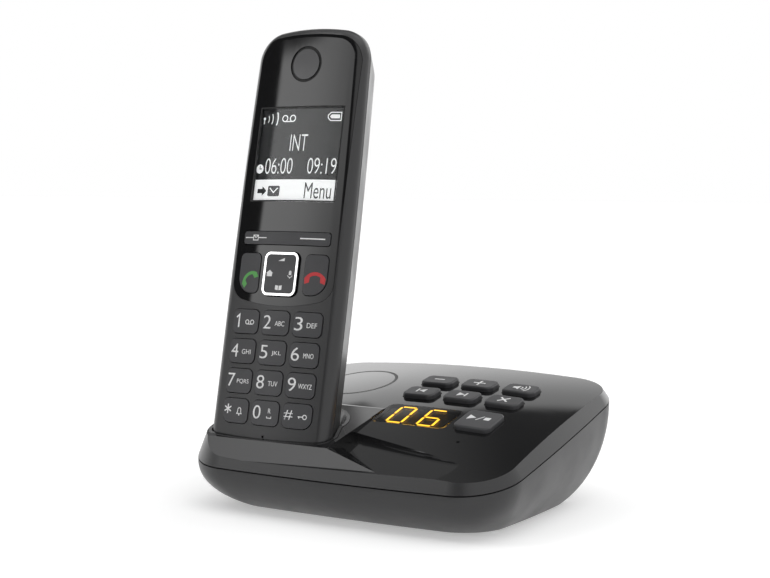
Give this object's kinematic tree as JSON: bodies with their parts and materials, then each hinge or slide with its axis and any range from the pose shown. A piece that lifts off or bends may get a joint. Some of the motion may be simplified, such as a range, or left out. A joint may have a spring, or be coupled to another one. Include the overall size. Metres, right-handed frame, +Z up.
{
  "type": "cordless telephone answering machine",
  "caption": "Cordless handset standing upright in the cradle of a wedge-shaped charging base with playback keys, a message counter window and a round paging button.",
  "frame": {"origin": "middle of the base's outline, on the desk", "axes": "+X to the right as the user sees it, +Y to the back of the base, +Z up"},
  "size_m": [0.13, 0.105, 0.1718],
  "materials": {
    "cover_gloss": "glossy black",
    "casing_matte": "fine matte",
    "cup_matte": "matte",
    "frame_satin": "satin dark grey",
    "back_satin": "satin grey",
    "panel_gloss": "glossy black",
    "clear_window": "clear, polished",
    "smoked_window": "smoked, polished",
    "earpiece": "glossy",
    "handset_keys": "satin",
    "bright_ring": "bright",
    "deck_keys": "soft matte",
    "paging": "glossy black",
    "rubber": "matte",
    "steel": "plain",
    "gold_pads": "plated",
    "cells": "printed sleeve",
    "boards": "solder mask",
    "modules": "moulded",
    "transducers": "moulded"
  },
  "bodies": {
    "base": {"base_lower_shell": "casing_matte", "base_top_cover": "cover_gloss", "cradle_cup": "cup_matte", "charge_springs": "steel", "base_board": "boards", "radio_shield": "steel", "key_board": "boards", "led_display": "modules", "display_window": "smoked_window", "base_keymat": "rubber", "base_speaker": "transducers", "base_microphone": "transducers", "line_socket": "modules", "power_socket": "modules", "rubber_feet": "rubber", "base_screws": "steel"},
    "handset": {"handset_front_frame": "frame_satin", "handset_gloss_panel": "panel_gloss", "handset_back_shell": "back_satin", "battery_cells": "cells", "battery_contacts": "steel", "handset_contacts": "gold_pads", "handset_board": "boards", "handset_display": "modules", "handset_window": "clear_window", "earpiece_cap": "earpiece", "earpiece_speaker": "transducers", "ringer_speaker": "transducers", "handset_microphone": "transducers", "handset_keymat": "rubber"},
    "key_minus_body": {"key_minus": "deck_keys"},
    "key_plus_body": {"key_plus": "deck_keys"},
    "key_speaker_body": {"key_speaker": "deck_keys"},
    "key_previous_body": {"key_previous": "deck_keys"},
    "key_next_body": {"key_next": "deck_keys"},
    "key_delete_body": {"key_delete": "deck_keys"},
    "key_play_body": {"key_play": "deck_keys"},
    "paging_body": {"paging_button": "paging"},
    "key_star_body": {"key_star": "handset_keys"},
    "key_0_body": {"key_0": "handset_keys"},
    "key_hash_body": {"key_hash": "handset_keys"},
    "key_7_body": {"key_7": "handset_keys"},
    "key_8_body": {"key_8": "handset_keys"},
    "key_9_body": {"key_9": "handset_keys"},
    "key_4_body": {"key_4": "handset_keys"},
    "key_5_body": {"key_5": "handset_keys"},
    "key_6_body": {"key_6": "handset_keys"},
    "key_1_body": {"key_1": "handset_keys"},
    "key_2_body": {"key_2": "handset_keys"},
    "key_3_body": {"key_3": "handset_keys"},
    "talk_key_body": {"talk_key": "handset_keys"},
    "end_key_body": {"end_key": "handset_keys"},
    "softkey_body": {"softkey_bar": "handset_keys"},
    "nav_gimbal_body": {"nav_gimbal": "handset_keys"},
    "nav_body": {"nav_pad": "handset_keys", "nav_ring": "bright_ring"},
    "battery_cover_body": {"battery_cover": "back_satin"}
  },
  "joints": [
    {"name": "handset_lift", "type": "slide", "parent": "base", "child": "handset", "axis": [0, 0.2074, 0.9783], "range_m": [0, 0.04]},
    {"name": "key_minus_press", "type": "slide", "parent": "base", "child": "key_minus_body", "axis": [0, 0.2241, -0.9746], "range_m": [0, 0.0008], "stiffness_N_per_m": 400},
    {"name": "key_plus_press", "type": "slide", "parent": "base", "child": "key_plus_body", "axis": [0, 0.2241, -0.9746], "range_m": [0, 0.0008], "stiffness_N_per_m": 400},
    {"name": "key_speaker_press", "type": "slide", "parent": "base", "child": "key_speaker_body", "axis": [0, 0.2241, -0.9746], "range_m": [0, 0.0008], "stiffness_N_per_m": 400},
    {"name": "key_previous_press", "type": "slide", "parent": "base", "child": "key_previous_body", "axis": [0, 0.2241, -0.9746], "range_m": [0, 0.0008], "stiffness_N_per_m": 400},
    {"name": "key_next_press", "type": "slide", "parent": "base", "child": "key_next_body", "axis": [0, 0.2241, -0.9746], "range_m": [0, 0.0008], "stiffness_N_per_m": 400},
    {"name": "key_delete_press", "type": "slide", "parent": "base", "child": "key_delete_body", "axis": [0, 0.2241, -0.9746], "range_m": [0, 0.0008], "stiffness_N_per_m": 400},
    {"name": "key_play_press", "type": "slide", "parent": "base", "child": "key_play_body", "axis": [0, 0.2241, -0.9746], "range_m": [0, 0.0008], "stiffness_N_per_m": 400},
    {"name": "paging_press", "type": "slide", "parent": "base", "child": "paging_body", "axis": [0, 0.2241, -0.9746], "range_m": [0, 0.0006], "stiffness_N_per_m": 600},
    {"name": "key_star_press", "type": "slide", "parent": "handset", "child": "key_star_body", "axis": [0, 0.9783, -0.2074], "range_m": [0, 0.0005], "stiffness_N_per_m": 400},
    {"name": "key_0_press", "type": "slide", "parent": "handset", "child": "key_0_body", "axis": [0, 0.9783, -0.2074], "range_m": [0, 0.0005], "stiffness_N_per_m": 400},
    {"name": "key_hash_press", "type": "slide", "parent": "handset", "child": "key_hash_body", "axis": [0, 0.9783, -0.2074], "range_m": [0, 0.0005], "stiffness_N_per_m": 400},
    {"name": "key_7_press", "type": "slide", "parent": "handset", "child": "key_7_body", "axis": [0, 0.9783, -0.2074], "range_m": [0, 0.0005], "stiffness_N_per_m": 400},
    {"name": "key_8_press", "type": "slide", "parent": "handset", "child": "key_8_body", "axis": [0, 0.9783, -0.2074], "range_m": [0, 0.0005], "stiffness_N_per_m": 400},
    {"name": "key_9_press", "type": "slide", "parent": "handset", "child": "key_9_body", "axis": [0, 0.9783, -0.2074], "range_m": [0, 0.0005], "stiffness_N_per_m": 400},
    {"name": "key_4_press", "type": "slide", "parent": "handset", "child": "key_4_body", "axis": [0, 0.9783, -0.2074], "range_m": [0, 0.0005], "stiffness_N_per_m": 400},
    {"name": "key_5_press", "type": "slide", "parent": "handset", "child": "key_5_body", "axis": [0, 0.9783, -0.2074], "range_m": [0, 0.0005], "stiffness_N_per_m": 400},
    {"name": "key_6_press", "type": "slide", "parent": "handset", "child": "key_6_body", "axis": [0, 0.9783, -0.2074], "range_m": [0, 0.0005], "stiffness_N_per_m": 400},
    {"name": "key_1_press", "type": "slide", "parent": "handset", "child": "key_1_body", "axis": [0, 0.9783, -0.2074], "range_m": [0, 0.0005], "stiffness_N_per_m": 400},
    {"name": "key_2_press", "type": "slide", "parent": "handset", "child": "key_2_body", "axis": [0, 0.9783, -0.2074], "range_m": [0, 0.0005], "stiffness_N_per_m": 400},
    {"name": "key_3_press", "type": "slide", "parent": "handset", "child": "key_3_body", "axis": [0, 0.9783, -0.2074], "range_m": [0, 0.0005], "stiffness_N_per_m": 400},
    {"name": "talk_key_press", "type": "slide", "parent": "handset", "child": "talk_key_body", "axis": [0, 0.9783, -0.2074], "range_m": [0, 0.0005], "stiffness_N_per_m": 400},
    {"name": "end_key_press", "type": "slide", "parent": "handset", "child": "end_key_body", "axis": [0, 0.9783, -0.2074], "range_m": [0, 0.0005], "stiffness_N_per_m": 400},
    {"name": "softkey_rock", "type": "hinge", "parent": "handset", "child": "softkey_body", "pos_m": [-0.0324, -0.02381, 0.09535], "axis": [0, 0.2074, 0.9783], "range_deg": [-1.5, 1.5], "stiffness_Nm_per_rad": 0.05},
    {"name": "nav_tilt_up_down", "type": "hinge", "parent": "handset", "child": "nav_gimbal_body", "pos_m": [-0.0324, -0.02649, 0.08268], "axis": [1, 0, 0], "range_deg": [-3, 3], "stiffness_Nm_per_rad": 0.05},
    {"name": "nav_tilt_left_right", "type": "hinge", "parent": "nav_gimbal_body", "child": "nav_body", "pos_m": [-0.0324, -0.02649, 0.08268], "axis": [0, 0.2074, 0.9783], "range_deg": [-3, 3], "stiffness_Nm_per_rad": 0.05},
    {"name": "battery_cover_open", "type": "hinge", "parent": "handset", "child": "battery_cover_body", "pos_m": [-0.0324, -0.00314, 0.0993], "axis": [1, 0, 0], "range_deg": [0, 40]}
  ]
}
